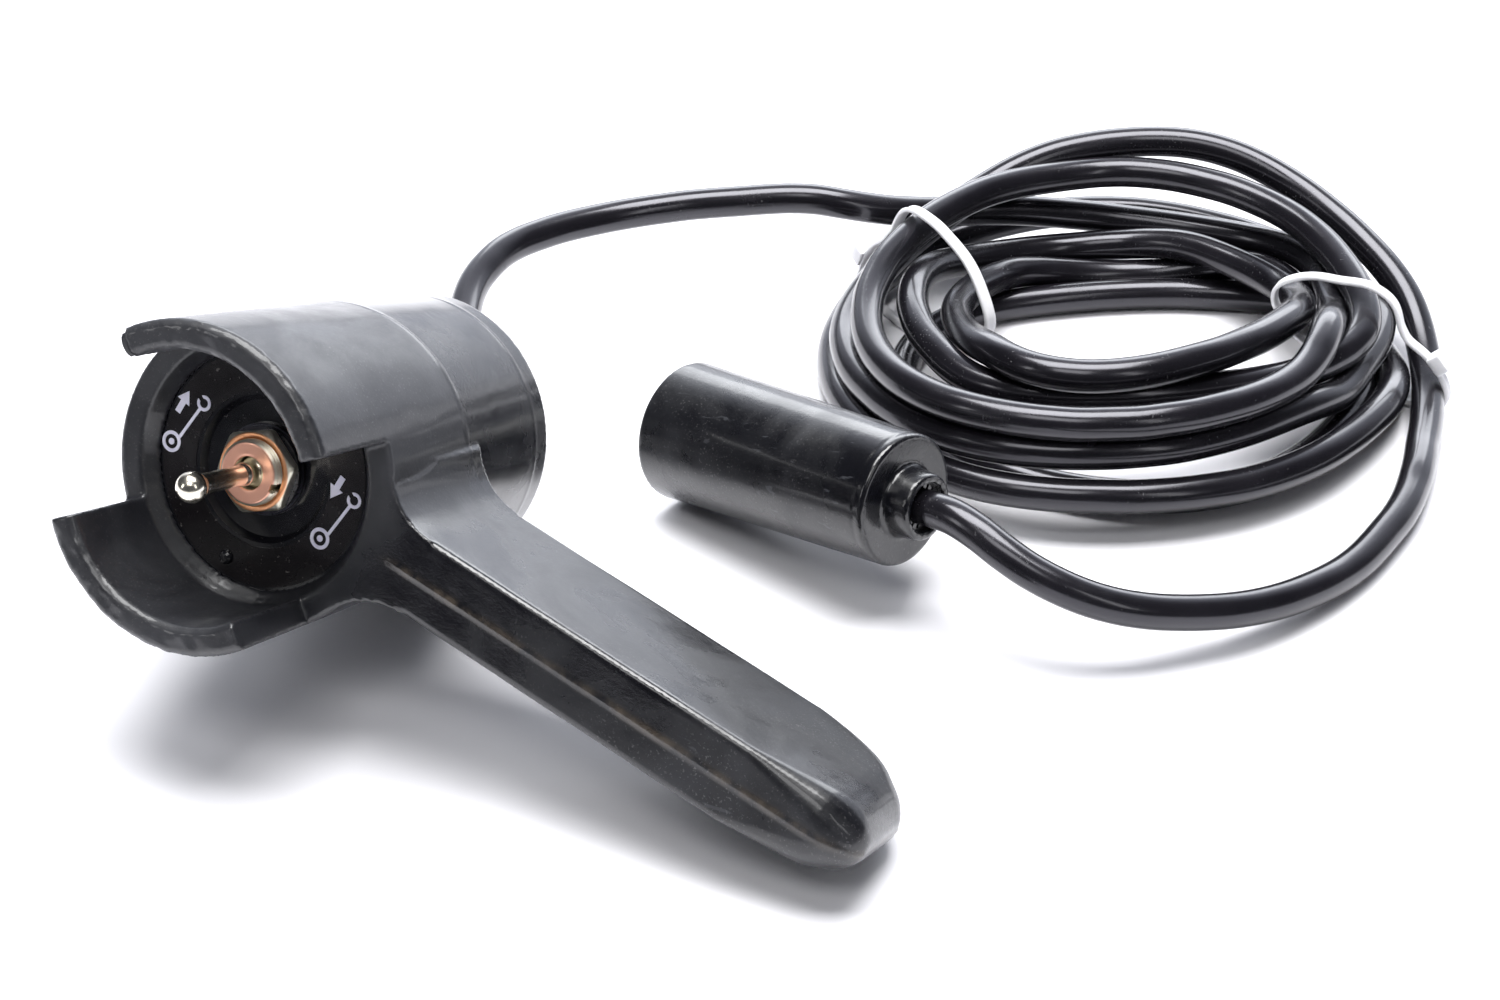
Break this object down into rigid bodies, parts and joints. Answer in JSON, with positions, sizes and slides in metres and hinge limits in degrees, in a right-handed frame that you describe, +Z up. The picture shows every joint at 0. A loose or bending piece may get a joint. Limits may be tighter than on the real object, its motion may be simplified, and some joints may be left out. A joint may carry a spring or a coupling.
{
  "type": "hand-held winch remote",
  "caption": "Hand-held wired remote: rubber T-handle with a guarded spring-return toggle switch, a coiled round cord held by cable ties, and a round rubber plug.",
  "frame": {"origin": "middle of the underside of the hand-piece's bounding box, on the floor; the hand-piece rests on its handle tip and on the head's lower rear edge, with its cord behind it", "axes": "+X along the handle's level direction towards its tip, -Y out of the switch side, +Z up"},
  "size_m": [0.202, 0.2828, 0.0824],
  "materials": {
    "moulded_rubber": "satin",
    "cord_jacket": "gloss",
    "plate_black": "gloss",
    "label_black": "gloss",
    "symbol_white": "matte",
    "nickel": "polished",
    "steel": "satin",
    "brass": "satin",
    "silver_contact": "satin",
    "phenolic": "matte",
    "insert_black": "matte",
    "tie_white": "satin",
    "wire_white": "satin",
    "wire_green": "satin",
    "wire_red": "satin",
    "tinned": "satin"
  },
  "bodies": {
    "pendant": {"housing": "moulded_rubber", "face_plate": "plate_black", "face_label": "label_black", "symbol_out": "symbol_white", "symbol_in": "symbol_white", "locating_rivet": "plate_black", "locating_ring": "steel", "lock_washer": "steel", "hex_nut": "nickel", "backing_nut": "nickel", "switch_bushing": "nickel", "pivot_pin": "steel", "switch_frame": "steel", "switch_case": "phenolic", "terminal_common": "brass", "terminal_out": "brass", "terminal_in": "brass", "spade_connectors": "tinned", "wire_common": "wire_white", "wire_out": "wire_green", "wire_in": "wire_red", "cord_clamp": "phenolic", "clamp_screws": "steel", "cord_tail_head": "cord_jacket", "cord_lead_head": "cord_jacket", "cord_coil": "cord_jacket", "cord_lead_plug": "cord_jacket", "tie_left": "tie_white", "tie_right": "tie_white", "plug_body": "moulded_rubber", "plug_insert": "insert_black", "plug_contacts": "brass", "plug_wires": "wire_red", "plug_gland": "moulded_rubber", "cord_tail_plug": "cord_jacket"},
    "lever": {"toggle_lever": "nickel", "lever_plunger": "brass", "plunger_spring": "steel"},
    "rocker": {"rocker_contact": "brass", "rocker_buttons": "silver_contact"}
  },
  "joints": [
    {"name": "toggle_swing", "type": "hinge", "parent": "pendant", "child": "lever", "pos_m": [-0.04548, -0.01589, 0.04678], "axis": [0.2429, 0.3907, 0.8879], "range_deg": [-13, 13], "stiffness_Nm_per_rad": 0.25},
    {"name": "rocker_tilt", "type": "hinge", "parent": "pendant", "child": "rocker", "pos_m": [-0.04713, -0.00117, 0.04075], "axis": [0.2429, 0.3907, 0.8879], "range_deg": [-6.6, 6.6]}
  ],
  "couplings": [
    {"joint": "rocker_tilt", "follows": "toggle_swing", "ratio": -0.5}
  ]
}
